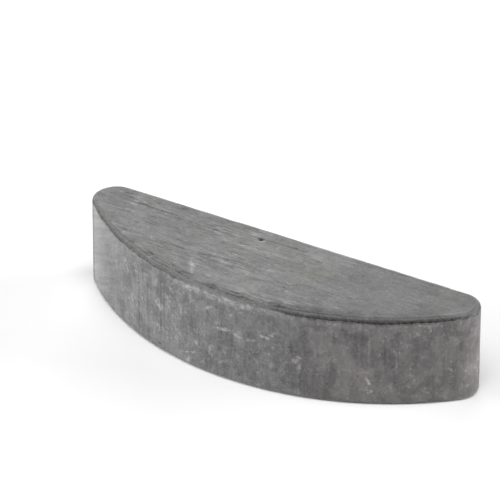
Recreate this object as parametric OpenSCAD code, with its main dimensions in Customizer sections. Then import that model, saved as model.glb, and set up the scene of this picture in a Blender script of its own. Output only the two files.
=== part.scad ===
// Flywheel key: a half-moon steel key that lies on one of its two flat side faces.
// It is a slice of a round disc, cut off by a flat back, with rounded corners and tumbled edges.
// All sizes are in millimetres. The origin is the centre of the footprint, on the lower side face.
// +X runs along the flat back, +Y points out of the flat back and +Z across the key's width.

/* [Key] */
// Diameter of the curved seat, the same as the cutter that makes the pocket in the shaft
seat_d = 25; // [22:0.5:40]
// Overall length along the flat back
key_l = 18; // [12:0.5:19]
// Width between the two side faces, which fills the keyway
key_w = 4; // [2:0.5:8]

/* [Corners and edges] */
// Radius of the two upright corners, where the curved seat runs into the flat back
corner_r = 1; // [0.6:0.1:1.6]
// Radius of the tumbled edge that runs round each side face
edge_r = 0.2; // [0.05:0.05:0.4]

/* [Hidden] */

// Facets on a full turn, for the preview alone
$fn = 180;

seat_r = seat_d / 2;
// Distance from mid-length to each corner's centre
corner_x = key_l / 2 - corner_r;
// Each corner touches the seat from inside, so its centre lies this far from the seat's centre
corner_reach = seat_r - corner_r;
// Distance from the line through both corner centres up to the seat's centre
seat_y = sqrt(corner_reach * corner_reach - corner_x * corner_x);
// Height from the bottom of the curved seat to the flat back
key_h = seat_r + corner_r - seat_y;
// From the origin up to the line through both corner centres
corner_y = key_h / 2 - corner_r;
// How far a trimming block runs past the solid that it trims
overrun = 1;

// Section through the key's rim from `start` out to `reach`, with both outer edges rounded
module rim_section(start, reach) {
    translate([start, edge_r])
        square([reach - start, key_w - 2 * edge_r]);
    translate([start, 0])
        square([reach - edge_r - start, key_w]);
    for (z = [edge_r, key_w - edge_r])
        translate([reach - edge_r, z])
            circle(edge_r);
}

// Whole disc with a rounded rim
module rimmed_disc(r) {
    rotate_extrude()
        rim_section(0, r);
}

// Endless bar whose +Y side is the flat back
module back_bar() {
    rotate([90, 0, 90])
        linear_extrude(seat_d, center = true)
            rim_section(-key_h, corner_r);
}

// Room for the corner at the +X end, from where the seat ends round to where the flat back starts
module corner_room() {
    seat_end = [corner_x, -seat_y] / corner_reach;
    translate([corner_x, 0, -overrun])
        linear_extrude(key_w + 2 * overrun)
            polygon([[0, 0], seat_end * key_l, [key_l, 0], [0, key_l]]);
}

// Shifts along Y in a coarse step and a fine one, so that no digit of the distance is rounded away
// and the seat still touches both corners
module shift_y(distance) {
    coarse = round(distance * 1000) / 1000;
    translate([0, coarse, 0])
        translate([0, distance - coarse, 0])
            children();
}

// Everything but the two corners
module seat_and_back() {
    difference() {
        intersection() {
            shift_y(seat_y)
                rimmed_disc(seat_r);
            back_bar();
        }
        corner_room();
        mirror([1, 0, 0])
            corner_room();
    }
}

// Rounded corner at the +X end
module end_corner() {
    intersection() {
        translate([corner_x, 0, 0])
            rimmed_disc(corner_r);
        corner_room();
    }
}

module flywheel_key() {
    color([0.53, 0.53, 0.52])
        shift_y(corner_y) {
            seat_and_back();
            end_corner();
            mirror([1, 0, 0])
                end_corner();
        }
}

flywheel_key();
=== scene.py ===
"""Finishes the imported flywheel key: ground side faces, a drawn rim and tumbled edges, on a pale floor.

Lengths are in metres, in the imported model's own frame: +X along the flat back, +Y out of the flat back
and +Z across the key's width. Patterns and marks in the steel are laid out in millimetres.
"""

import math
from collections import namedtuple

import bpy
from mathutils import Matrix, Vector


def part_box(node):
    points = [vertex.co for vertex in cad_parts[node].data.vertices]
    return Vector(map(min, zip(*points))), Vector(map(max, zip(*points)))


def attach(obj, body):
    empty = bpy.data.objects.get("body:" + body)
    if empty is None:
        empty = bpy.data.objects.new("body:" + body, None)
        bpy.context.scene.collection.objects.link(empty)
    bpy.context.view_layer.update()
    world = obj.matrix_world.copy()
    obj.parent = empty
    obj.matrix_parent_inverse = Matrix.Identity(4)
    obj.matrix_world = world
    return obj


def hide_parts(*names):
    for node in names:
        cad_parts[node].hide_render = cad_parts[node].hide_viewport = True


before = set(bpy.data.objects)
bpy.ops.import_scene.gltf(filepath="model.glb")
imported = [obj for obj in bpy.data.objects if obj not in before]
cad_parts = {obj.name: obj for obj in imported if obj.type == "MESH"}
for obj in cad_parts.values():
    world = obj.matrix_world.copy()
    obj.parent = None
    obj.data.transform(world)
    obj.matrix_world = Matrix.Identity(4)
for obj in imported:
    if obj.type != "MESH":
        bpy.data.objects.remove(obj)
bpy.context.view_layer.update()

bl_info = {
    "name": "Half-moon flywheel key",
    "version": (1, 0, 0),
    "blender": (4, 5, 0),
    "location": "View3D > Sidebar > Flywheel key",
    "description": "Makes a worn steel half-moon key and the studio that it lies in",
    "category": "Object",
}

MM = 0.001
KEY_NODE = "flywheel_key"
BODY = "root"
# Attribute that says where a point lies on the key's section: -1 on the lower face, 0 on the rim, 1 on
# the upper face, and in between on the rounded edges by the share of their turn
SECTION = "section"
# Name of the map that unrolls the key's surface
SURFACE_MAP = "OFBake"

LOWEST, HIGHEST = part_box(KEY_NODE)
KEY_LENGTH = HIGHEST.x - LOWEST.x
KEY_HEIGHT = HIGHEST.y - LOWEST.y
KEY_WIDTH = HIGHEST.z - LOWEST.z
CORNER_RADIUS = 1.0 * MM


def seat_radius(length, height, corner):
    """Radius of the curved seat that gives a key of this length and height, with these corners."""
    corner_x = length / 2 - corner
    return (corner_x ** 2 + height ** 2 - 2 * corner * height) / (2 * height - 4 * corner)


SEAT_RADIUS = seat_radius(KEY_LENGTH, KEY_HEIGHT, CORNER_RADIUS)

# The key's mesh: columns along the rim, and rings and rows round its section
GRID = {
    "Back Columns": 240,
    "Corner Columns": 40,
    "Lower Rings": 30,
    "Upper Rings": 56,
    "Edge Rows": 8,
    "Rim Rows": 56,
}
RELIEF_SEED = 3.0

# Places on the key in millimetres, for the steel's patterns: the seat's radius, its axis on +Y and the
# height of the upper face
SEAT_R = SEAT_RADIUS / MM
SEAT_AXIS_Y = (LOWEST.y + SEAT_RADIUS) / MM
TOP_Z = KEY_WIDTH / MM
ALONG_KEY = (1.0, 0.0, 0.0)
ACROSS_WIDTH = (0.0, 0.0, 1.0)

# Marks on the upper face, in millimetres and degrees: name, x, y, half length, half width, turn of its
# long side from +X, softness, raggedness, and its tone beside the steel round it (0 is black)
FACE_MARKS = (
    ("back grinding line", -6.3, 1.68, 1.5, 0.045, -1, 0.5, 0.5, 0.46),
    ("back grinding line fading", -3.4, 1.70, 1.9, 0.030, 0, 0.7, 0.7, 0.78),
    ("line near the back", -0.9, 1.88, 2.4, 0.035, 1, 0.6, 0.6, 0.64),
    ("bright line in the middle", 0.1, 1.06, 1.3, 0.035, 2, 0.6, 0.6, 1.32),
    ("dark line of the pair", -1.9, -0.27, 0.9, 0.035, 5, 0.6, 0.5, 0.60),
    ("bright line of the pair", -1.8, -0.14, 0.9, 0.030, 5, 0.6, 0.5, 1.40),
    ("short dark line", 2.5, 0.62, 0.6, 0.035, 3, 0.6, 0.6, 0.76),
    ("left bright line", -7.1, 0.95, 0.8, 0.035, -2, 0.6, 0.6, 1.24),
    ("bright spot", -1.6, 1.00, 0.16, 0.06, 10, 0.6, 0.8, 1.38),
    ("scuff by the front edge", -2.45, -1.42, 0.44, 0.085, -56, 0.5, 0.9, 1.40),
    ("bright speck right", 1.75, -1.10, 0.08, 0.05, 40, 0.6, 0.8, 1.36),
    ("bright speck right, second", 2.05, -0.88, 0.06, 0.05, 0, 0.6, 0.8, 1.30),
    ("dark patch at the end", 7.60, 1.80, 0.22, 0.16, 20, 0.8, 0.8, 0.84),
)
# Faint arcs on the upper face: name, x, y, half length, half width, turn, softness, tone
FACE_ARCS = (
    ("arc at the middle", -2.75, 1.40, 0.42, 0.22, 0, 0.40, 0.84),
    ("crescent", 3.85, 1.20, 0.42, 0.28, 15, 0.40, 0.84),
    ("loop of the scuff", -2.55, -1.15, 0.20, 0.14, -50, 0.34, 1.30),
)
ARC_RAGGEDNESS = 0.55
# The pit in the upper face, in millimetres
PIT_X = -1.15
PIT_Y = 1.79
PIT_RADIUS = 0.085
PIT_DEPTH = 0.045
# Marks on the curved seat, in millimetres and degrees: name, distance along the seat from mid-length,
# height, half length, half width, rise of its long side, softness, raggedness and tone
SEAT_MARKS = (
    ("middle scuff", -0.16, 2.37, 0.28, 0.075, 8, 0.5, 1.0, 1.66),
    ("middle scuff, right part", 0.40, 2.24, 0.24, 0.055, -14, 0.7, 1.0, 1.48),
    ("middle scuff, far part", 0.95, 2.20, 0.20, 0.055, 16, 0.7, 1.0, 1.44),
    ("upper scuff", 1.62, 2.52, 0.20, 0.080, -6, 0.5, 1.0, 1.68),
    ("upper scuff, upper part", 1.95, 2.72, 0.18, 0.060, 40, 0.7, 1.0, 1.44),
    ("slanted scuff low on the right", 5.90, 1.06, 0.17, 0.065, 115, 0.5, 0.8, 1.75),
    ("spot below it", 6.00, 0.65, 0.075, 0.060, 0, 0.6, 0.8, 1.60),
    ("spot on the left", -1.60, 1.25, 0.11, 0.075, 10, 0.7, 0.8, 1.50),
    ("spot under the edge", 0.09, 3.10, 0.10, 0.075, 0, 0.7, 0.8, 1.42),
    ("spot at the right end", 6.90, 2.50, 0.08, 0.060, 0, 0.7, 0.8, 1.40),
    ("cluster", 2.95, 1.75, 0.18, 0.10, 60, 0.7, 1.0, 1.54),
    ("cluster, lower part", 3.10, 1.45, 0.12, 0.08, 90, 0.7, 1.0, 1.46),
    ("left spots", -3.60, 2.10, 0.10, 0.16, 90, 0.8, 1.0, 1.38),
    ("arc", -0.95, 3.15, 0.20, 0.045, 30, 0.6, 0.9, 1.36),
    ("thin line", -2.00, 0.65, 0.52, 0.026, 18, 0.6, 0.4, 1.44),
    ("first dark drawn line", -5.02, 2.10, 1.70, 0.045, 90, 0.8, 0.4, 0.80),
    ("second dark drawn line", -4.42, 1.90, 1.50, 0.050, 90, 0.8, 0.5, 0.78),
    ("third dark drawn line", -3.58, 1.70, 1.40, 0.050, 90, 0.8, 0.5, 0.76),
    ("fourth dark drawn line", -3.38, 1.50, 1.20, 0.040, 90, 0.8, 0.5, 0.80),
    ("dark drawn line at the middle", -0.60, 3.30, 0.50, 0.060, 90, 0.8, 0.6, 0.78),
    ("dark drawn line on the right", 3.30, 2.50, 0.70, 0.070, 90, 0.8, 0.6, 0.88),
    ("dark drawn line, far right", 6.55, 2.90, 0.90, 0.060, 90, 0.8, 0.5, 0.82),
    ("dark drawn line at the right end", 9.60, 2.90, 0.80, 0.060, 90, 0.8, 0.5, 0.84),
    ("long slanted scratch", -8.70, 2.80, 0.55, 0.035, 27, 0.8, 0.3, 1.20),
    ("slanted scratch above it", -9.20, 3.20, 0.35, 0.030, 27, 0.8, 0.3, 1.16),
    ("dark slanted scratch", -4.90, 3.20, 0.65, 0.035, 17, 0.8, 0.4, 0.82),
    ("upright scuff", 0.20, 1.70, 0.55, 0.028, 84, 0.8, 0.8, 1.22),
    ("upright scuff, right", 5.90, 2.75, 0.60, 0.045, 88, 0.8, 0.8, 1.20),
    ("upright scuff, far right", 7.00, 1.95, 0.50, 0.045, 90, 0.8, 0.8, 1.20),
)

# The soft lights: name, azimuth and elevation in degrees, width and height in metres, power in watts
SOFTBOXES = (
    ("left_softbox", 296.0, 12.0, 0.40, 0.18, 3.5),
    ("right_softbox", 120.0, 12.0, 0.30, 0.18, 2.4),
    ("back_softbox", 211.0, 12.0, 0.30, 0.18, 1.3),
    ("top_softbox", 31.0, 70.0, 0.35, 0.35, 1.75),
)
LIGHT_DISTANCE = 0.5
SKY_STRENGTH = 0.06


def length_prop(name, description, default, least=0.0):
    """A length in metres, for the sidebar."""
    return bpy.props.FloatProperty(
        name=name, description=description, default=default, min=least, unit="LENGTH", precision=6
    )


def share_prop(name, description, default, most=1.0):
    """A share of something, from 0 up, for the sidebar."""
    return bpy.props.FloatProperty(
        name=name, description=description, default=default, min=0.0, max=most, subtype="FACTOR"
    )


def angle_prop(name, description, degrees):
    """An angle, given in degrees, for the sidebar."""
    return bpy.props.FloatProperty(
        name=name, description=description, default=math.radians(degrees), subtype="ANGLE"
    )


def colour_prop(name, description, default):
    """A colour, as shares of red, green and blue, for the sidebar."""
    return bpy.props.FloatVectorProperty(
        name=name, description=description, default=default, size=3, min=0.0, max=1.0, subtype="COLOR"
    )


class KeyShape(bpy.types.PropertyGroup):
    """Sizes of the key and of its relief."""

    length: length_prop("Length", "Overall length along the flat back", KEY_LENGTH, 1.0 * MM)
    width: length_prop("Width", "Distance between the two side faces", KEY_WIDTH, 0.5 * MM)
    seat_radius: length_prop("Seat radius", "Radius of the curved seat", SEAT_RADIUS, 1.0 * MM)
    corner_radius: length_prop(
        "Corner radius", "Radius of the two upright corners beside the flat back", CORNER_RADIUS, 0.2 * MM
    )
    edge_radius: length_prop(
        "Edge radius", "Radius of the tumbled edge round each side face", 0.2 * MM, 0.02 * MM
    )
    edge_wander: share_prop(
        "Edge wander", "Share of the edge radius by which it changes along the key", 0.20, 0.6
    )
    edge_taper: share_prop(
        "Edge taper", "Share by which the edges are tighter at the -X end than at the +X end", 0.10, 0.8
    )
    worn_edge: length_prop(
        "Worn edge", "What wear adds to the radius of the upper front edge, on its worn stretch", 0.03 * MM
    )
    worn_from: length_prop("Worn from", "Place along +X where the worn stretch starts", -5.8 * MM, -1.0)
    worn_to: length_prop("Worn to", "Place along +X where the worn stretch ends", 0.2 * MM, -1.0)
    nick_depth: length_prop("Nick depth", "Depth of the nicks in the edges", 0.030 * MM)
    draw_depth: length_prop(
        "Draw mark depth", "Depth of the marks that run across the width on the seat and the back", 0.006 * MM
    )
    grind_depth: length_prop(
        "Grinding depth", "Depth of the broad waves that grinding left on the side faces", 0.003 * MM
    )


class KeyFinish(bpy.types.PropertyGroup):
    """Colours and roughness of the key's steel."""

    face_colour: colour_prop("Ground face colour", "Colour of the ground side faces", (0.218, 0.218, 0.216))
    rim_colour: colour_prop(
        "Rim colour", "Colour of the drawn seat, corners and flat back", (0.218, 0.217, 0.216)
    )
    roughness: share_prop("Roughness", "Mean roughness of the steel", 0.58)


class Studio(bpy.types.PropertyGroup):
    """The floor and the camera."""

    floor_size: length_prop("Floor size", "Side of the square floor", 2.0, 0.1)
    floor_colour: colour_prop("Floor colour", "Colour of the plain floor", (0.95, 0.95, 0.95))
    azimuth: angle_prop("Camera azimuth", "Turn of the camera about the key, from a view along +Y", 31.3)
    elevation: angle_prop("Camera elevation", "How far the camera looks down", 31.1)
    distance: length_prop(
        "Camera distance", "Distance from the camera to the point that it aims at", 217.05 * MM, 0.01
    )
    focal_length: bpy.props.FloatProperty(
        name="Focal length",
        description="Lens length in millimetres, on a sensor 36 mm wide",
        default=387.27,
        min=10.0,
        unit="CAMERA",
    )
    aim_right: length_prop(
        "Aim to the right", "How far the camera aims to the right of the key's centre", -0.511 * MM, -1.0
    )
    aim_up: length_prop("Aim above", "How far the camera aims above the key's centre", 2.394 * MM, -1.0)


def sign(operation):
    """Method for one of Python's signs, with the field before it or alone."""
    return lambda field, *others: calculate(operation, field, *others)


def sign_after(operation):
    """Method for one of Python's signs, with a plain number before it and the field after it."""
    return lambda field, number: calculate(operation, number, field)


class Field:
    """A number or a vector that travels through a node tree. A number takes Python's own signs."""

    __add__, __radd__ = sign("ADD"), sign_after("ADD")
    __sub__, __rsub__ = sign("SUBTRACT"), sign_after("SUBTRACT")
    __mul__, __rmul__ = sign("MULTIPLY"), sign_after("MULTIPLY")
    __truediv__, __rtruediv__ = sign("DIVIDE"), sign_after("DIVIDE")
    __lt__, __gt__ = sign("LESS_THAN"), sign("GREATER_THAN")
    __abs__, __floor__ = sign("ABSOLUTE"), sign("FLOOR")

    def __init__(self, socket):
        self.socket = socket


SOCKET_KINDS = {float: "NodeSocketFloat", int: "NodeSocketInt", tuple: "NodeSocketVector"}


def tree_of(*values):
    """The node tree of the first field among these values."""
    return next(value.socket.id_data for value in values if isinstance(value, Field))


def put(socket, value):
    """Links a field or another node's socket to an input, or sets the input to a plain value."""
    if isinstance(value, Field):
        value = value.socket
    if isinstance(value, bpy.types.NodeSocket):
        socket.id_data.links.new(value, socket)
    else:
        socket.default_value = value


def add_node(tree, kind, inputs, **settings):
    """A new node with these settings and these inputs, by their names or numbers."""
    node = tree.nodes.new(kind)
    for name, value in settings.items():
        setattr(node, name, value)
    for name, value in inputs.items():
        put(node.inputs[name], value)
    return node


def calculate(operation, *values):
    """One step of arithmetic on numbers and fields."""
    node = add_node(tree_of(*values), "ShaderNodeMath", dict(enumerate(values)), operation=operation)
    return Field(node.outputs[0])


def ramp(value, start, end, low=0.0, high=1.0, smooth=False):
    """Runs from low to high as value goes from start to end, and holds still outside them."""
    inputs = {"Value": value, "From Min": start, "From Max": end, "To Min": low, "To Max": high}
    kind = "SMOOTHSTEP" if smooth else "LINEAR"
    node = add_node(tree_of(value), "ShaderNodeMapRange", inputs, interpolation_type=kind)
    return Field(node.outputs["Result"])


def grows(value, start, end):
    """Goes smoothly from 0 to 1 as value goes from start to end."""
    return ramp(value, start, end, smooth=True)


def fades(value, start, end):
    """Goes smoothly from 1 to 0 as value goes from start to end."""
    return ramp(value, start, end, 1.0, 0.0, True)


def vector(x, y, z):
    """A vector from three numbers or fields."""
    node = add_node(tree_of(x, y, z), "ShaderNodeCombineXYZ", {"X": x, "Y": y, "Z": z})
    return Field(node.outputs["Vector"])


def vectors(operation, *values, scale=None):
    """One step of arithmetic on vectors. A product or a length comes back as a number."""
    inputs = dict(enumerate(values))
    if scale is not None:
        inputs["Scale"] = scale
    node = add_node(tree_of(*values), "ShaderNodeVectorMath", inputs, operation=operation)
    gives_number = operation in ("DOT_PRODUCT", "LENGTH", "DISTANCE")
    return Field(node.outputs["Value" if gives_number else "Vector"])


def noise(place, seed, scale=1.0, detail=2.0, roughness=0.5):
    """Smooth noise with a mean of 0, mostly from -1 to 1."""
    inputs = {"Vector": place, "W": seed, "Scale": scale, "Detail": detail, "Roughness": roughness}
    node = add_node(tree_of(place), "ShaderNodeTexNoise", inputs, noise_dimensions="4D")
    return (Field(node.outputs[0]) - 0.5) * 4.0


def add_inputs(tree, values, subtype="NONE"):
    """Gives a group inputs, by name and default value, and returns their identifiers."""
    found = {}
    for name, value in values.items():
        kind = SOCKET_KINDS[type(value)]
        item = tree.interface.new_socket(name=name, in_out="INPUT", socket_type=kind)
        item.subtype = subtype
        item.default_value = value
        found[name] = item.identifier
    return found


def store(tree, geometry, name, kind, domain, value):
    """Keeps a value on the mesh under a name, and returns the geometry that carries it."""
    inputs = {"Geometry": geometry, "Name": name, "Value": value}
    node = add_node(tree, "GeometryNodeStoreNamedAttribute", inputs, data_type=kind, domain=domain)
    return node.outputs["Geometry"]


def taken_on(domain, field):
    """A field worked out on points or on faces, for use on the corners of the faces."""
    node = add_node(
        tree_of(field), "GeometryNodeFieldOnDomain", {"Value": field}, domain=domain, data_type="FLOAT"
    )
    return Field(node.outputs["Value"])


def half_moon_tree(lengths, shares):
    """Geometry Nodes group that makes the key: a grid wrapped round it, column by column and row by row.

    A column is a place along the rim. A row is a place round the key's section: over the lower face, round
    its edge, up the rim, round the upper edge and over the upper face, to the line that halves the face.
    It returns the group and its inputs' identifiers.
    """
    tree = bpy.data.node_groups.new("Half-moon key", "GeometryNodeTree")
    tree.interface.new_socket(name="Geometry", in_out="OUTPUT", socket_type="NodeSocketGeometry")
    material = tree.interface.new_socket(name="Material", in_out="INPUT", socket_type="NodeSocketMaterial")
    names = {
        **add_inputs(tree, lengths, "DISTANCE"),
        **add_inputs(tree, shares, "FACTOR"),
        **add_inputs(tree, {**GRID, "Seed": RELIEF_SEED}),
    }
    source = tree.nodes.new("NodeGroupInput")
    given = {name: Field(source.outputs[name]) for name in names}
    names["Material"] = material.identifier
    length, width, seed = given["Length"], given["Width"], given["Seed"]
    seat_r, corner_r, edge_r = given["Seat Radius"], given["Corner Radius"], given["Edge Radius"]

    # Columns run along the seat, round one corner, along the back and round the other corner
    seat_end = given["Back Columns"]
    corner_end = seat_end + given["Corner Columns"]
    back_end = corner_end + seat_end
    last_column = back_end + given["Corner Columns"]
    # Rows run over the lower face, its edge, the rim, the upper edge and the upper face
    lower_end = given["Lower Rings"]
    lower_edge_end = lower_end + given["Edge Rows"]
    rim_end = lower_edge_end + given["Rim Rows"]
    upper_edge_end = rim_end + given["Edge Rows"]
    last_row = upper_edge_end + given["Upper Rings"]

    sides = {"Vertices X": last_column + 1.0, "Vertices Y": last_row + 1.0}
    grid = add_node(tree, "GeometryNodeMeshGrid", sides)
    index = Field(tree.nodes.new("GeometryNodeInputIndex").outputs["Index"])
    column = math.floor((index + 0.5) / (last_row + 1.0))
    row = index - column * (last_row + 1.0)

    # The core is the outline without its corner radius: an arc below a straight line
    core_x_end = length / 2.0 - corner_r
    reach = seat_r - corner_r
    seat_y = calculate("SQRT", reach * reach - core_x_end * core_x_end)
    height = seat_r + corner_r - seat_y
    corner_y = height / 2.0 - corner_r
    seat_turn = calculate("ARCSINE", core_x_end / reach)
    corner_turn = math.pi - seat_turn
    along_back = ramp(column, corner_end, back_end)
    core_x = core_x_end * (ramp(column, 0.0, seat_end, -1.0, 1.0) - along_back * 2.0)
    # Depth of the arc below the straight line at this distance from mid-length
    core_drop = calculate("SQRT", reach * reach - core_x * core_x) - seat_y
    on_seat = column < seat_end
    core_y = corner_y - core_drop * on_seat
    # The rim's outward direction, turned from -Y towards +X
    seat_swing = calculate("ARCSINE", core_x / reach) * on_seat
    first_corner = ramp(column, seat_end, corner_end)
    last_corner = ramp(column, back_end, last_column)
    past_seat = (seat_turn + corner_turn * first_corner) * (1.0 - on_seat)
    turn = seat_swing + past_seat + corner_turn * last_corner
    out_x = calculate("SINE", turn)
    out_y = calculate("COSINE", turn) * -1.0
    middle_y = corner_y - core_drop / 2.0

    # The section: how far it leans out to the rim, and how far it has gone over a face
    leaning = ramp(row, lower_end, lower_edge_end, -1.0, 0.0) + ramp(row, rim_end, upper_edge_end)
    lean = (math.pi / 2) * leaning
    rise = calculate("SINE", lean)
    round_in = calculate("COSINE", lean)
    over_face = ramp(row, 0.0, lower_end, 1.0, 0.0) + ramp(row, upper_edge_end, last_row)
    up_rim = ramp(row, lower_edge_end, rim_end)

    # The edges: each radius wanders along the key and is tighter towards -X, and wear has widened part of
    # the upper front edge
    nominal_x = (core_x + out_x * corner_r) / MM
    nominal_y = (core_y + out_y * corner_r) / MM
    rim_mm = vector(nominal_x, nominal_y, 0.0)
    worn_from, worn_to = given["Worn From"], given["Worn To"]
    worn = (
        grows(core_x, worn_from - 0.5 * MM, worn_from + 0.5 * MM)
        * fades(core_x, worn_to - 1.0 * MM, worn_to + 1.0 * MM)
        * (column < seat_end + 0.5)
    )
    taper = 1.0 - given["Edge Taper"] * grows(core_x, core_x_end * 0.5, core_x_end * -0.2)
    upper_wander = 1.0 + given["Edge Wander"] * noise(rim_mm, seed + 1.0, 0.9, 3.0)
    lower_wander = 1.0 + given["Edge Wander"] * noise(rim_mm, seed + 2.0, 0.9, 3.0)
    wear = given["Worn Edge"] * worn * (1.0 + 0.7 * noise(rim_mm, seed + 3.0, 1.3, 3.0))
    upper_r = calculate("MAXIMUM", edge_r * taper * upper_wander + wear, edge_r * 0.4)
    lower_r = calculate("MAXIMUM", edge_r * taper * lower_wander, edge_r * 0.4)
    here_r = lower_r + (upper_r - lower_r) * up_rim
    place_z = lower_r + (width - lower_r - upper_r) * up_rim + here_r * rise

    # Marks across the width and shallow dents, cut into the rim
    nominal_mm = vector(nominal_x, nominal_y, place_z / MM)
    draw_mm = vectors("MULTIPLY", nominal_mm, (1.0, 1.0, 0.12))
    draw_marks = 0.5 + 0.35 * noise(draw_mm, seed + 4.0, 1.7, 3.0, 0.6)
    dents = grows(noise(nominal_mm, seed + 5.0, 1.5, 2.0), 0.75, 1.4)
    sunk = given["Draw Depth"] * (draw_marks + dents * 1.5)
    # Nicks take most from the middle of an edge's round
    nick_start = 0.55 - 0.45 * worn * up_rim
    nicks = grows(noise(nominal_mm, seed + 6.0, 1.9, 2.0, 0.6), nick_start, nick_start + 0.7)
    nick = given["Nick Depth"] * nicks * 2.0 * round_in * abs(rise)

    reach_out = corner_r - here_r + here_r * round_in - sunk - nick * round_in
    rim_x = core_x + out_x * reach_out
    rim_y = core_y + out_y * reach_out
    place_x = rim_x + (core_x - rim_x) * over_face
    place_y = rim_y + (middle_y - rim_y) * over_face

    # Broad waves along the key and the pit, cut into the side faces
    side = calculate("SIGN", rise)
    wave_mm = vector(place_x * (0.22 / MM), place_y * (1.6 / MM), side * 9.0)
    waves = 0.5 + 0.35 * noise(wave_mm, seed + 7.0, 1.0, 3.0, 0.6)
    pit_place = vector(given["Pit X"], given["Pit Y"], width)
    from_pit = vectors("DISTANCE", vector(place_x, place_y, width), pit_place)
    in_pit = fades(from_pit, given["Pit Radius"] * 0.3, given["Pit Radius"] * 1.5)
    cut = given["Grind Depth"] * waves + given["Pit Depth"] * in_pit * (rise > 0.5)
    place_z = place_z - side * ramp(over_face, 0.0, 0.05) * cut - nick * rise

    position = {"Geometry": grid.outputs["Mesh"], "Position": vector(place_x, place_y, place_z)}
    shaped = add_node(tree, "GeometryNodeSetPosition", position).outputs["Geometry"]
    marked = store(tree, shaped, SECTION, "FLOAT", "POINT", leaning)

    # The surface map: both faces and the rim in two strips, cut at mid-corner, laid out on one square
    gap = 0.25 * MM
    seat_half = seat_r * seat_turn
    corner_arc = corner_r * corner_turn
    seat_strip = (seat_half + corner_arc / 2.0) * 2.0
    back_strip = (core_x_end + corner_arc / 2.0) * 2.0
    round_rim = seat_strip + back_strip
    along = (
        seat_r * seat_swing
        + (seat_half + corner_arc * first_corner) * (1.0 - on_seat)
        + core_x_end * 2.0 * along_back
        + corner_arc * last_corner
    )
    past_back = column > back_end
    up_section = edge_r * (lean + math.pi / 2) + (width - edge_r * 2.0) * up_rim
    rim_strip = width + edge_r * (math.pi - 2.0)
    face_index = taken_on("FACE", index)
    face_column = math.floor((face_index + 0.5) / last_row)
    face_row = face_index - face_column * last_row
    mid_corner = given["Corner Columns"] / 2.0 - 0.5
    is_lower = face_row < lower_end - 0.5
    is_upper = face_row > upper_edge_end - 0.5
    is_rim = 1.0 - is_lower - is_upper
    is_back = is_rim * (face_column > seat_end + mid_corner) * (face_column < back_end + mid_corner)
    is_seat = is_rim - is_back
    face_u = taken_on("POINT", place_x + length / 2.0 + gap)
    face_v = taken_on("POINT", place_y + height / 2.0 + gap)
    seat_u = taken_on("POINT", along - past_back * round_rim + seat_strip / 2.0 + gap)
    back_u = taken_on("POINT", along - round_rim / 2.0 + back_strip / 2.0 + gap)
    strip_v = taken_on("POINT", up_section + gap)
    next_up = height + gap
    map_u = face_u * (is_lower + is_upper) + seat_u * is_seat + back_u * is_back
    map_v = (
        face_v * (is_lower + is_upper)
        + next_up * is_upper
        + (strip_v + next_up * 2.0) * is_rim
        + (rim_strip + gap) * is_seat
    )
    map_side = seat_strip + gap * 2.0
    map_place = vector(map_u / map_side, map_v / map_side, 0.0)
    geometry = store(tree, marked, SURFACE_MAP, "FLOAT2", "CORNER", map_place)

    for kind, inputs in (
        ("GeometryNodeMergeByDistance", {"Distance": 0.001 * MM}),
        ("GeometryNodeSetShadeSmooth", {}),
        ("GeometryNodeRealizeInstances", {}),
        ("GeometryNodeSetMaterial", {"Material": source.outputs["Material"]}),
    ):
        geometry = add_node(tree, kind, {"Geometry": geometry, **inputs}).outputs["Geometry"]
    add_node(tree, "NodeGroupOutput", {"Geometry": geometry})
    return tree, names


def shader_group(name, vector_inputs, number_inputs, outputs):
    """A new shader node group. Returns it with its inputs as fields and its end node."""
    tree = bpy.data.node_groups.new(name, "ShaderNodeTree")
    inputs = {**dict.fromkeys(vector_inputs, (0.0, 0.0, 0.0)), **number_inputs}
    add_inputs(tree, inputs)
    for output in outputs:
        tree.interface.new_socket(name=output, in_out="OUTPUT", socket_type="NodeSocketFloat")
    source = tree.nodes.new("NodeGroupInput")
    given = {item: Field(source.outputs[item]) for item in inputs}
    return tree, given, tree.nodes.new("NodeGroupOutput")


def use_group(group, *values, label=""):
    """Places a group, with values in the order of its inputs, and returns its outputs by name."""
    inputs = dict(enumerate(values))
    node = add_node(tree_of(*values), "ShaderNodeGroup", inputs, node_tree=group, label=label)
    return {output.name: Field(output) for output in node.outputs}


def drawn_lines_group():
    """Fine lines that all run one way, as grinding and drawing leave them."""
    numbers = {"Line Width": 0.1, "Line Length": 2.0, "Seed": 0.0}
    tree, given, end = shader_group("Drawn lines", ("Place", "Along"), numbers, ("Line",))
    place, along = given["Place"], given["Along"]
    run = vectors("DOT_PRODUCT", place, along)
    spread = vectors("SCALE", place, scale=1.0 / given["Line Width"])
    squeeze = run * (1.0 / given["Line Length"] - 1.0 / given["Line Width"])
    squeezed = vectors("ADD", spread, vectors("SCALE", along, scale=squeeze))
    put(end.inputs["Line"], noise(squeezed, given["Seed"], 0.5, 3.0, 0.6))
    return tree


def chips_group():
    """Scattered chips and specks with ragged outlines."""
    numbers = {"Chip Size": 0.2, "Threshold": 0.8, "Seed": 0.0}
    tree, given, end = shader_group("Chips", ("Place",), numbers, ("Chip",))
    value = noise(given["Place"], given["Seed"], 0.5 / given["Chip Size"], 3.0, 0.65)
    put(end.inputs["Chip"], ramp(value, given["Threshold"], given["Threshold"] + 0.16))
    return tree


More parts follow.
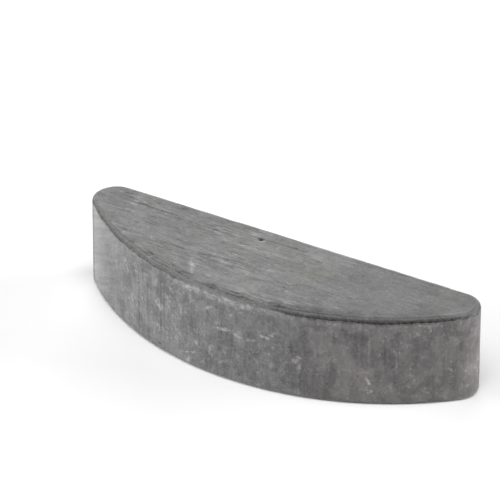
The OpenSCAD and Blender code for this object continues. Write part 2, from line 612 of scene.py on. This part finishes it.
def scuffs_group():
    """Short curved scuffs, one line wide, that start and stop at random."""
    numbers = {"Scuff Size": 0.5, "Threshold": 0.3, "Seed": 0.0}
    tree, given, end = shader_group("Scuffs", ("Place",), numbers, ("Scuff",))
    place, seed, scale = given["Place"], given["Seed"], 1.0 / given["Scuff Size"]
    path = abs(noise(place, seed, scale, 2.0, 0.6))
    here = noise(place, seed + 0.7, scale * 1.6, 2.0, 0.6)
    here = ramp(here, given["Threshold"], given["Threshold"] + 0.20)
    put(end.inputs["Scuff"], ramp(path, 0.03, 0.18, 1.0, 0.0) * here)
    return tree


def mark_group():
    """One mark at its own place, as a filled shape and as a ring."""
    numbers = {"Half Length": 0.2, "Half Width": 0.1, "Softness": 0.5, "Ragged": 0.0}
    tree, given, end = shader_group("Mark", ("Place", "Centre", "Along"), numbers, ("Filled", "Ring"))
    away = vectors("SUBTRACT", given["Place"], given["Centre"])
    run = vectors("DOT_PRODUCT", away, given["Along"])
    across = vectors("SUBTRACT", away, vectors("SCALE", given["Along"], scale=run))
    run_share = run / given["Half Length"]
    across_share = vectors("LENGTH", across) / given["Half Width"]
    reach = calculate("SQRT", run_share * run_share + across_share * across_share) + given["Ragged"]
    soft = given["Softness"]
    put(end.inputs["Filled"], 1.0 - grows(reach, 1.0 - soft, 1.0 + soft))
    put(end.inputs["Ring"], 1.0 - grows(abs(reach - 1.0), 0.0, soft))
    return tree


def tumbled_edge_group():
    """Masks on the rounded edges, which tumbling and handling have worn: the whole round, a line on its side
    next to the rim and the crest next to the face. They carry real chips and specks, and also painted shade
    and painted highlights.
    """
    numbers = {"Section": 0.0, "Seed": 0.0}
    tree, given, end = shader_group("Tumbled edge", ("Place",), numbers, ("Round", "Line", "Crest"))
    turned = abs(given["Section"]) + noise(given["Place"], given["Seed"], 2.4, 4.0, 0.8) * 0.14
    rounded = grows(turned, 0.02, 0.16) * fades(turned, 0.78, 1.0)
    line = grows(turned, -0.04, 0.14) * fades(turned, 0.34, 0.66)
    crest = grows(turned, 0.50, 0.72) * fades(turned, 0.84, 1.0)
    put(end.inputs["Round"], rounded)
    put(end.inputs["Line"], line)
    put(end.inputs["Crest"], crest)
    return tree


def heading(turn):
    """Direction on the upper face, turned this many degrees from +X towards +Y."""
    return (math.cos(math.radians(turn)), math.sin(math.radians(turn)), 0.0)


def seat_spot(along, height):
    """Place on the curved seat, in millimetres, and the direction in which it runs towards +X."""
    angle = along / SEAT_R
    place = (SEAT_R * math.sin(angle), SEAT_AXIS_Y - SEAT_R * math.cos(angle), height)
    return place, (math.cos(angle), math.sin(angle), 0.0)


def rising(level, turn):
    """A level direction, raised by this many degrees."""
    flat = math.cos(math.radians(turn))
    return (level[0] * flat, level[1] * flat, math.sin(math.radians(turn)))


class KeySteel:
    """What the steel's effects share: places in millimetres, masks, noises and groups."""

    def __init__(self, tree):
        self.line_group = drawn_lines_group()
        self.chip_group = chips_group()
        self.scuff_group = scuffs_group()
        self.mark_group = mark_group()

        coordinates = tree.nodes.new("ShaderNodeTexCoord")
        self.place = vectors("SCALE", Field(coordinates.outputs["Object"]), scale=1.0 / MM)
        separate = add_node(tree, "ShaderNodeSeparateXYZ", {"Vector": self.place})
        self.x, self.y, self.z = (Field(output) for output in separate.outputs)
        attribute = add_node(tree, "ShaderNodeAttribute", {}, attribute_name=SECTION)
        section = Field(attribute.outputs["Fac"])
        turned = abs(section)
        self.face = grows(turned, 0.66, 0.96)
        self.rim = fades(turned, 0.08, 0.36)
        self.upper = ramp(section, 0.42, 0.80)
        self.on_top = section > 0.0
        self.edge = use_group(tumbled_edge_group(), self.place, section, 51.0)

        self.ragged = noise(self.place, 21.0, 6.0, 3.0, 0.8)
        self.grain = noise(self.place, 22.0, 8.0, 2.0, 0.7)
        self.blotches = noise(self.place, 23.0, 0.8, 3.0, 0.55)
        self.mottle = noise(self.place, 24.0, 0.65, 5.0, 0.85) * 2.0

        self.at_front = ramp(self.y, 0.6, 0.0)
        self.right_end = grows(self.x, 8.2, 8.7)
        # The left end of the seat, which handling has rubbed smooth and where its tone is raised as a painted
        # highlight
        front = grows(self.y, 1.8, 1.0)
        self.left_end = self.rim * front * grows(self.x, -5.0, -7.4)

    def scaled_place(self, x=1.0, y=1.0, z=1.0):
        """The place with its directions scaled. A pattern on it is drawn out where the scale is small."""
        return vectors("MULTIPLY", self.place, (x, y, z))

    def lines(self, along, width, length, seed):
        return use_group(self.line_group, self.place, along, width, length, seed)["Line"]

    def scattered(self, size, threshold, seed, place=None):
        place = place or self.place
        return use_group(self.chip_group, place, size, threshold, seed)["Chip"]

    def scuffed(self, size, threshold, seed):
        return use_group(self.scuff_group, self.place, size, threshold, seed)["Scuff"]

    def patched(self, size, seed, place):
        return ramp(noise(place, seed, 1.0 / size, 4.0, 0.6), -0.14, 0.14, -0.5, 0.5)

    def mark(self, name, centre, along, half_length, half_width, softness, raggedness):
        """The filled shape and the ring of one mark."""
        values = (self.place, centre, along, half_length, half_width, softness, self.ragged * raggedness)
        return use_group(self.mark_group, *values, label=name)


# What one effect adds to the steel: to its tone, to its relief in millimetres and to its roughness
Layer = namedtuple("Layer", ("tone", "relief", "roughness"), defaults=(0.0, 0.0))


def ground_faces(steel):
    """Side faces: grinding lines in bundles, flecks and faint patches, and a smoother right end on top."""
    x, face = steel.x, steel.face
    dash_lines = steel.lines(ALONG_KEY, 0.070, 0.34, 30.0)
    dashes = ramp(dash_lines, 0.24, 0.46) - ramp(dash_lines, -0.46, -0.24, 1.0, 0.0)
    fine_grinding = steel.lines(ALONG_KEY, 0.045, 0.6, 31.0)
    broad_grinding = steel.lines(ALONG_KEY, 0.13, 1.8, 32.0)
    deep_grinding = steel.lines(ALONG_KEY, 0.04, 1.8, 34.0)
    bundles = ramp(noise(steel.scaled_place(x=0.22), 33.0, 1.0, 2.0), -0.3, 0.5)
    smooth_end = steel.upper * grows(x + steel.blotches * 1.2, 1.8, 4.6)
    ground = face * (0.10 + 0.90 * bundles) * (1.0 - 0.72 * smooth_end)
    scored = ground * grows(deep_grinding, 0.30, 0.70)
    fleck_place = steel.scaled_place(x=0.30)
    light_flecks = steel.scattered(0.100, 0.42, 35.0, fleck_place)
    dark_flecks = steel.scattered(0.100, 0.42, 36.0, fleck_place)
    patches = steel.patched(0.9, 37.0, steel.scaled_place(x=0.6))
    rougher = face * (1.0 - 0.55 * smooth_end)
    tone = (
        (fine_grinding * 0.34 + broad_grinding * 0.14 + dashes * 0.14) * ground
        - scored * 0.36
        + (dashes * 0.13 + light_flecks * 0.48 - dark_flecks * 0.42) * rougher
        + face * (patches * 0.14 + steel.blotches * 0.07 + steel.mottle * 0.10 + steel.grain * 0.20)
        - smooth_end * face * 0.16
        - face * ramp(x, -6.6, -8.0) * 0.06
        + 0.02
    )
    relief = (
        ground * (fine_grinding * 0.0022 + broad_grinding * 0.0028)
        + (light_flecks - dark_flecks) * face * 0.0010
        - scored * 0.004
    )
    return Layer(tone, relief)


def drawn_rim(steel):
    """Rim: mottled steel with broken draw marks across the width, light flecks and dark specks."""
    x, rim, mottle = steel.x, steel.rim, steel.mottle
    fine_drawing = steel.lines(ACROSS_WIDTH, 0.06, 0.5, 41.0)
    columns = ramp(steel.lines(ACROSS_WIDTH, 0.16, 0.8, 42.0), -0.15, 0.15, -0.5, 0.5)
    patches = steel.patched(0.9, 47.0, steel.scaled_place(z=0.9))
    rough_rim = rim * (1.0 - 0.62 * steel.left_end)
    busy = mottle * 0.5 + steel.blotches * 0.8 - ramp(x, -2.0, 4.0) * 0.25
    busy = ramp(busy, -0.7, 0.5, 0.25, 1.0)
    chipped = steel.scattered(0.12, 0.48, 43.0) * busy
    specks = steel.scattered(0.075, 0.48, 44.0) * busy
    dark_specks = steel.scattered(0.085, 0.48, 46.0)
    scuffs = steel.scuffed(0.55, 0.10, 48.0) * busy
    calm = grows(x, 1.0, 4.0)
    # The whole rim is also painted darker than the faces (the 0.19 below), as painted shade
    tone = rough_rim * (
        mottle * 0.10
        + patches * (0.14 + 0.04 * calm)
        + columns * 0.09
        + fine_drawing * (0.13 - 0.05 * calm)
        + steel.grain * (0.17 - 0.05 * calm)
        + chipped * (0.32 + 0.10 * calm)
        + specks * (0.46 + 0.22 * calm)
        + scuffs * 0.38
        - dark_specks * (0.24 - 0.06 * calm)
    ) - rim * 0.19
    relief = rough_rim * (
        fine_drawing * 0.0020
        + (columns + patches + mottle) * 0.0030
        + (chipped + specks + scuffs) * 0.0025
        - dark_specks * 0.0030
    )
    return Layer(tone, relief, chipped * rim * -0.06)


def seat_ends(steel):
    """Both ends of the seat: slanted scratches on the left, painted highlights at both ends and painted shade
    where the seat turns into the left corner.
    """
    x, y, rim = steel.x, steel.y, steel.rim
    slant = rising(seat_spot(-8.8, 0.0)[1], 27.0)
    slanted = steel.lines(slant, 0.055, 1.2, 45.0) + 0.8 * steel.lines(slant, 0.14, 1.8, 49.0)
    # The lifts at the left end and at the right end are painted highlights, and the dip where the seat turns
    # into the left corner is painted shade; the slanted scratches are real
    tone = (
        steel.left_end * (slanted * 0.20 + 0.06)
        + rim * ramp(y, 0.95, 0.75) * ramp(x, -7.2, -8.4) * 0.32
        - rim * ramp(x, -8.0, -8.6) * ramp(y, 0.75, 1.05) * ramp(y, 2.4, 1.9) * 0.32
        + rim * ramp(x, 8.3, 8.8) * ramp(y, 2.4, 1.9) * 0.14
    )
    return Layer(tone, steel.left_end * slanted * 0.0016)


def rounded_edges(steel):
    """The rounded edges.

    Round the upper face they have a dark line of painted shade on the rim's side, which is left out at the
    middle of the front, where the edge is rubbed, and faint at the right end.
    The crests and the lower edge's line are painted lighter, as painted highlights.
    """
    x, at_front, on_top, right_end = steel.x, steel.at_front, steel.on_top, steel.right_end
    rounded, line, crest = steel.edge["Round"], steel.edge["Line"], steel.edge["Crest"]
    before_dark_line = fades(x, 1.4, 2.4)
    rubbed_off = at_front * grows(x, -2.8, -1.4) * before_dark_line
    worn_line = at_front * grows(x, -6.8, -4.8) * before_dark_line
    line_share = 0.36 - 0.27 * worn_line - 0.20 * rubbed_off + 0.04 * right_end
    under_top = grows(steel.z + steel.ragged * 0.02, TOP_Z - 0.29, TOP_Z - 0.23)
    # Painted shade: a dark band on the front of the rim just under the upper edge, left and right of the
    # middle
    painted_shade_under_edge = ramp(x, -5.0, -8.0) + grows(x, 2.0, 3.4) * (1.0 - right_end)
    painted_shade_under_edge = painted_shade_under_edge * at_front * steel.rim * under_top
    edge_chips = steel.scattered(0.07, 0.25, 53.0)
    edge_specks = steel.scattered(0.05, 0.40, 54.0)
    # Painted light on the edges: the crests and the lower edge's line are painted lighter as painted
    # highlights, and the upper edge's line, the worn stretch and the band under it are painted darker as
    # painted shade; the chips, specks and grain are real
    tone = (
        crest * (0.22 + 0.10 * right_end + 0.13 * worn_line)
        - line * line_share * on_top
        - rounded * (1.0 - crest) * worn_line * (0.10 - 0.10 * rubbed_off)
        - painted_shade_under_edge * 0.28
        + line * (1.0 - on_top) * 0.25
        - rounded * edge_chips * on_top * 0.20
        + rounded * (edge_specks * 0.24 + steel.grain * 0.20)
    )
    return Layer(tone, rounded * edge_chips * -0.005, rounded * (0.28 - 0.16 * right_end))


def upper_front_edge(steel):
    """Broken strokes beside the worn edge, a soft band of painted shade on its right that turns into a
    painted highlight near the right end, and a rubbed band under it.
    """
    x = steel.x
    from_axis_y = SEAT_AXIS_Y - steel.y
    inset = SEAT_R - calculate("SQRT", x * x + from_axis_y * from_axis_y)
    swing = calculate("ARCTAN2", x, from_axis_y) * SEAT_R
    strokes = noise(vector(swing / 0.45, inset / 0.10, 0.0), 52.0, 0.5, 4.0, 0.75)
    worn_stretch = grows(x, -6.0, -4.8) * fades(x, 1.4, 3.0)
    beside_edge = fades(inset - strokes * 0.15, 0.34, 0.50) * worn_stretch * steel.on_top
    worn_crest = steel.edge["Crest"] * ramp(x, -3.0, -1.6, 0.0, 0.35)
    beside_edge = beside_edge * calculate("MINIMUM", steel.face + worn_crest, 1.0)
    evenly_dark = ramp(x, -2.8, -1.6, 0.05, 0.40)
    clumps = ramp(noise(vector(swing, 0.0, 0.0), 56.0, 0.9, 3.0, 0.7), -0.30, 0.20, 0.30, 1.40)
    stroke_dark = beside_edge * clumps * ramp(strokes, -0.10, 0.12, evenly_dark, 1.0)
    # Share of the painted shade band along the key; where it goes below zero, near the right end, the band is
    # a painted highlight instead
    band_share = (
        grows(x, 1.0, 2.4) * ramp(x, 4.4, 5.6, 1.0, 0.08, True)
        + ramp(x, 6.0, 6.9, 0.0, 0.5, True) * fades(x, 7.3, 7.8)
        - ramp(x, 7.7, 8.2, 0.0, 0.7, True) * fades(x, 8.5, 8.9)
    )
    painted_shade_band = fades(inset + steel.mottle * 0.05, 0.24, 0.78)
    painted_shade_band = painted_shade_band * steel.face * steel.upper * band_share
    rubbed_band = (
        steel.rim
        * steel.at_front
        * grows(steel.z + steel.ragged * 0.05, TOP_Z - 0.50, TOP_Z - 0.34)
        * grows(x, -3.4, -1.6)
        * ramp(x, 1.2, 2.6, 1.0, 0.30, True)
        * (0.32 + 0.62 * steel.scattered(0.15, -0.05, 55.0) + 0.55 * steel.scattered(0.07, 0.10, 57.0))
    )
    tone = rubbed_band * 0.50 - stroke_dark * 0.38 - painted_shade_band * 0.40
    return Layer(tone, stroke_dark * -0.006, stroke_dark * 0.06)


def placed_marks(steel):
    """The marks that stand out, each at its own place."""
    marks = []
    for name, x, y, *size, turn, softness, raggedness, tone in FACE_MARKS:
        shapes = steel.mark(name, (x, y, TOP_Z), heading(turn), *size, softness, raggedness)
        marks.append((shapes["Filled"], tone))
    for name, x, y, *size, turn, softness, tone in FACE_ARCS:
        shapes = steel.mark(name, (x, y, TOP_Z), heading(turn), *size, softness, ARC_RAGGEDNESS)
        marks.append((shapes["Ring"], tone))
    for name, along, height, *size, turn, softness, raggedness, tone in SEAT_MARKS:
        centre, level = seat_spot(along, height)
        shapes = steel.mark(name, centre, rising(level, turn), *size, softness, raggedness)
        marks.append((shapes["Filled"], tone))
    added = sum(shape * (tone - 1.0) for shape, tone in marks)
    covered = calculate("MINIMUM", sum(shape for shape, tone in marks), 1.0)
    return Layer(added * ramp(steel.grain, -0.5, 0.3, 0.4, 1.4), 0.0, covered * -0.04)


def tinted_colour(steel, finish):
    """The steel's colour, with faint olive stains on top and low on the seat, and pinkish on the right."""

    def mixed(factor, first, second):
        inputs = {"Factor": factor, 6: first, 7: second}
        return Field(add_node(tree_of(factor), "ShaderNodeMix", inputs, data_type="RGBA").outputs[2])

    stain = ramp(steel.blotches + steel.mottle * 0.3, 0.15, 0.9)
    low_right = steel.rim * ramp(steel.z, 1.4, 0.4) * ramp(steel.x, 3.0, 5.5)
    olive_stain = steel.face * stain + low_right * (0.4 + 0.6 * stain)
    pink_cast = grows(steel.x + steel.mottle * 0.8, 1.5, 4.5)
    pink_cast = steel.rim * pink_cast * (1.0 - olive_stain)
    colour = mixed(steel.rim, (*finish.face_colour, 1.0), (*finish.rim_colour, 1.0))
    for share, tint in ((olive_stain, (0.99, 0.99, 0.93, 1.0)), (pink_cast, (1.02, 0.975, 0.985, 1.0))):
        colour = vectors("MULTIPLY", colour, mixed(share, (1.0, 1.0, 1.0, 1.0), tint))
    return colour


def steel_material(finish):
    """Ground and drawn steel: a satin metal whose tone, roughness and relief change over the key."""
    material = bpy.data.materials.new("Ground steel")
    material.use_nodes = True
    tree = material.node_tree
    tree.nodes.clear()
    steel = KeySteel(tree)
    effects = (ground_faces, drawn_rim, seat_ends, rounded_edges, upper_front_edge, placed_marks)
    layers = [effect(steel) for effect in effects]
    pit_size = (PIT_RADIUS * 1.1, PIT_RADIUS)
    pit = steel.mark("pit", (PIT_X, PIT_Y, TOP_Z), ALONG_KEY, *pit_size, 0.30, 0.3)["Filled"]

    # The steel's colour is scaled by its tone, which holds the marks and also painted shade and painted
    # highlights
    tone = sum((layer.tone for layer in layers), 1.0)
    tone = calculate("MAXIMUM", tone, 0.25) * (1.0 - pit * 0.92)
    colour = vectors("SCALE", tinted_colour(steel, finish), scale=tone)
    roughness = finish.roughness + (steel.blotches + steel.grain + steel.rim) * 0.03
    roughness = sum((layer.roughness for layer in layers), roughness)
    relief = sum((layer.relief for layer in layers), steel.grain * 0.0012 - pit * 0.020)
    bump = add_node(tree, "ShaderNodeBump", {"Distance": MM, "Height": relief})
    inputs = {"Base Color": colour, "Metallic": 1.0, "Roughness": roughness, "Normal": bump.outputs["Normal"]}
    surface = add_node(tree, "ShaderNodeBsdfPrincipled", inputs)
    add_node(tree, "ShaderNodeOutputMaterial", {"Surface": surface.outputs["BSDF"]})
    return material


def floor_material(colour):
    """A matt material of one colour, for the floor alone."""
    material = bpy.data.materials.new("Pale floor")
    material.use_nodes = True
    surface = material.node_tree.nodes["Principled BSDF"]
    surface.inputs["Base Color"].default_value = (*colour, 1.0)
    surface.inputs["Roughness"].default_value = 0.9
    surface.inputs["Specular IOR Level"].default_value = 0.0
    return material


def new_object(name, data):
    """A new object in the scene, with this data."""
    item = bpy.data.objects.new(name, data)
    bpy.context.scene.collection.objects.link(item)
    return item


def as_plain_mesh(source, name):
    """The evaluated object as a mesh object of its own, with no modifier left."""
    graph = bpy.context.evaluated_depsgraph_get()
    mesh = bpy.data.meshes.new_from_object(source.evaluated_get(graph), depsgraph=graph)
    mesh.name = name
    for index in reversed(range(len(mesh.materials))):
        if mesh.materials[index] is None:
            mesh.materials.pop(index=index)
    bpy.data.objects.remove(source)
    return new_object(name, mesh)


class FLYWHEELKEY_OT_add_key(bpy.types.Operator):
    """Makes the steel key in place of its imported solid"""

    bl_idname = "flywheelkey.add_key"
    bl_label = "Add key"

    def execute(self, context):
        shape = context.scene.key_shape
        # The tree's inputs are named as the properties are
        lengths = {name.replace("_", " ").title(): getattr(shape, name) for name in KeyShape.__annotations__}
        shares = {name: lengths.pop(name) for name in ("Edge Wander", "Edge Taper")}
        for name, size in (("X", PIT_X), ("Y", PIT_Y), ("Radius", PIT_RADIUS), ("Depth", PIT_DEPTH)):
            lengths["Pit " + name] = size * MM
        tree, names = half_moon_tree(lengths, shares)

        source = new_object("key_source", bpy.data.meshes.new("key_source"))
        modifier = source.modifiers.new("Half-moon key", "NODES")
        modifier.node_group = tree
        steel = steel_material(context.scene.key_finish)
        for name, value in {**lengths, **shares, **GRID, "Seed": RELIEF_SEED, "Material": steel}.items():
            modifier[names[name]] = value
        piece = as_plain_mesh(source, "finished_key")
        if len(piece.data.polygons) == 0:
            raise RuntimeError("the key's node tree made no faces")
        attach(piece, BODY)
        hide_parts(KEY_NODE)
        return {"FINISHED"}


def away_from_key(azimuth, elevation):
    """Direction from the key out to this azimuth and elevation, in radians."""
    level = math.cos(elevation)
    return Vector((math.sin(azimuth) * level, -math.cos(azimuth) * level, math.sin(elevation)))


def add_softbox(name, azimuth, elevation, width, height, power):
    """A rectangular area light that faces the key, placed by its azimuth and elevation in degrees."""
    away = away_from_key(math.radians(azimuth), math.radians(elevation))
    light = bpy.data.lights.new(name, "AREA")
    light.shape = "RECTANGLE"
    light.size = width
    light.size_y = height
    light.energy = power
    lamp = new_object(name, light)
    turned = away.to_track_quat("Z", "Y").to_matrix().to_4x4()
    lamp.matrix_world = Matrix.Translation(away * LIGHT_DISTANCE) @ turned
    lamp.visible_camera = False


def add_floor(size, colour):
    """The square floor that the key lies on."""
    half = size / 2
    mesh = bpy.data.meshes.new("floor")
    corners = [(-half, -half, 0), (half, -half, 0), (half, half, 0), (-half, half, 0)]
    mesh.from_pydata(corners, [], [(0, 1, 2, 3)])
    mesh.materials.append(floor_material(colour))
    floor = new_object("floor", mesh)


def add_camera(studio):
    """The camera, at the photograph's angle to the key."""
    right = Vector((math.cos(studio.azimuth), math.sin(studio.azimuth), 0))
    back = away_from_key(studio.azimuth, studio.elevation)
    up = back.cross(right)
    aim = (LOWEST + HIGHEST) / 2 + right * studio.aim_right + up * studio.aim_up
    lens = bpy.data.cameras.new("camera")
    lens.lens = studio.focal_length
    lens.sensor_width = 36.0
    lens.clip_start = 0.001
    lens.clip_end = 10.0
    camera = new_object("camera", lens)
    turned = Matrix((right, up, back)).transposed().to_4x4()
    camera.matrix_world = Matrix.Translation(aim + back * studio.distance) @ turned
    bpy.context.scene.camera = camera


class FLYWHEELKEY_OT_add_studio(bpy.types.Operator):
    """Makes the pale floor, the soft light and the camera"""

    bl_idname = "flywheelkey.add_studio"
    bl_label = "Add studio"

    def execute(self, context):
        scene = context.scene
        add_floor(scene.key_studio.floor_size, scene.key_studio.floor_colour)
        for softbox in SOFTBOXES:
            add_softbox(*softbox)
        scene.world = scene.world or bpy.data.worlds.new("Studio")
        scene.world.use_nodes = True
        background = scene.world.node_tree.nodes["Background"]
        background.inputs["Color"].default_value = (1.0, 1.0, 1.0, 1.0)
        background.inputs["Strength"].default_value = SKY_STRENGTH
        scene.view_settings.view_transform = "Standard"
        scene.view_settings.look = "None"
        add_camera(scene.key_studio)
        return {"FINISHED"}


class FLYWHEELKEY_PT_tools(bpy.types.Panel):
    """Lists the sizes and the pieces"""

    bl_idname = "FLYWHEELKEY_PT_tools"
    bl_label = "Flywheel key"
    bl_space_type = "VIEW_3D"
    bl_region_type = "UI"
    bl_category = "Flywheel key"

    def draw(self, context):
        for title, group in (
            ("Shape", context.scene.key_shape),
            ("Finish", context.scene.key_finish),
            ("Studio", context.scene.key_studio),
        ):
            box = self.layout.box()
            box.label(text=title)
            for name in type(group).__annotations__:
                box.prop(group, name)
        self.layout.operator(FLYWHEELKEY_OT_add_key.bl_idname)
        self.layout.operator(FLYWHEELKEY_OT_add_studio.bl_idname)


CLASSES = (
    KeyShape,
    KeyFinish,
    Studio,
    FLYWHEELKEY_OT_add_key,
    FLYWHEELKEY_OT_add_studio,
    FLYWHEELKEY_PT_tools,
)


def register():
    for item in CLASSES:
        bpy.utils.register_class(item)
    bpy.types.Scene.key_shape = bpy.props.PointerProperty(type=KeyShape)
    bpy.types.Scene.key_finish = bpy.props.PointerProperty(type=KeyFinish)
    bpy.types.Scene.key_studio = bpy.props.PointerProperty(type=Studio)


def unregister():
    del bpy.types.Scene.key_studio
    del bpy.types.Scene.key_finish
    del bpy.types.Scene.key_shape
    for item in reversed(CLASSES):
        bpy.utils.unregister_class(item)


def main():
    register()
    bpy.ops.flywheelkey.add_studio()
    bpy.ops.flywheelkey.add_key()


if __name__ == "__main__":
    main()
